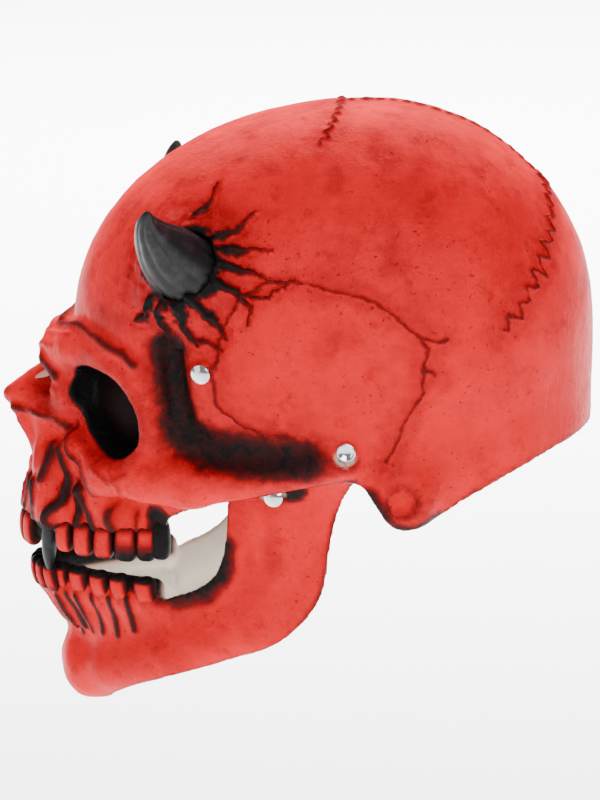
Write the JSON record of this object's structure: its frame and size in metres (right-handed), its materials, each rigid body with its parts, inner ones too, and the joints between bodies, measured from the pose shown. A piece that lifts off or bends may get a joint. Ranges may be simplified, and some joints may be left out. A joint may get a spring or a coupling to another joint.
{
  "type": "latex halloween mask",
  "caption": "Full-head horned skull mask with a hinged lower jaw, riveted at the ears, with padded inside and mesh eye screens.",
  "frame": {"origin": "middle of the jaw's hinge line, between the wearer's ears, where the mount head holds the mask", "axes": "+X to the wearer's left along the hinge line, face towards -Y, crown towards +Z"},
  "size_m": [0.196, 0.264, 0.2688],
  "materials": {
    "red_latex": "satin airbrushed latex",
    "black_latex": "satin black paint on latex",
    "black_mesh": "woven see-through mesh",
    "chrome_rivet": "polished double-cap rivet",
    "foam_pad": "cloth-faced foam",
    "elastic_webbing": "knitted elastic",
    "hook_and_loop": "hook and loop patch"
  },
  "bodies": {
    "skull": {"brow_pad": "foam_pad", "crown_pad": "foam_pad", "eye_screen_left": "black_mesh", "eye_screen_right": "black_mesh", "fang_left": "black_latex", "fang_right": "black_latex", "head_strap": "elastic_webbing", "hinge_cap_left": "chrome_rivet", "hinge_cap_right": "chrome_rivet", "hinge_rivet_left": "chrome_rivet", "hinge_rivet_right": "chrome_rivet", "horn_left": "black_latex", "horn_right": "black_latex", "jaw_elastic_left": "elastic_webbing", "jaw_elastic_right": "elastic_webbing", "nape_pad": "foam_pad", "nose_screen": "black_mesh", "side_pad_left": "foam_pad", "side_pad_right": "foam_pad", "skull_shell": "red_latex", "strap_anchor_left": "hook_and_loop", "strap_anchor_right": "hook_and_loop", "temple_cap_left": "chrome_rivet", "temple_cap_right": "chrome_rivet", "temple_rivet_left": "chrome_rivet", "temple_rivet_right": "chrome_rivet"},
    "jaw": {"chin_pad": "foam_pad", "jaw_cap_left": "chrome_rivet", "jaw_cap_right": "chrome_rivet", "jaw_rivet_left": "chrome_rivet", "jaw_rivet_right": "chrome_rivet", "jaw_shell": "red_latex"}
  },
  "joints": [
    {"name": "jaw_hinge", "type": "hinge", "parent": "skull", "child": "jaw", "pos_m": [0, 0, 0], "axis": [1, 0, 0], "range_deg": [0, 18], "stiffness_Nm_per_rad": 1, "springref_deg": -2.86, "deforming": ["jaw_elastic_left", "jaw_elastic_right"]}
  ]
}
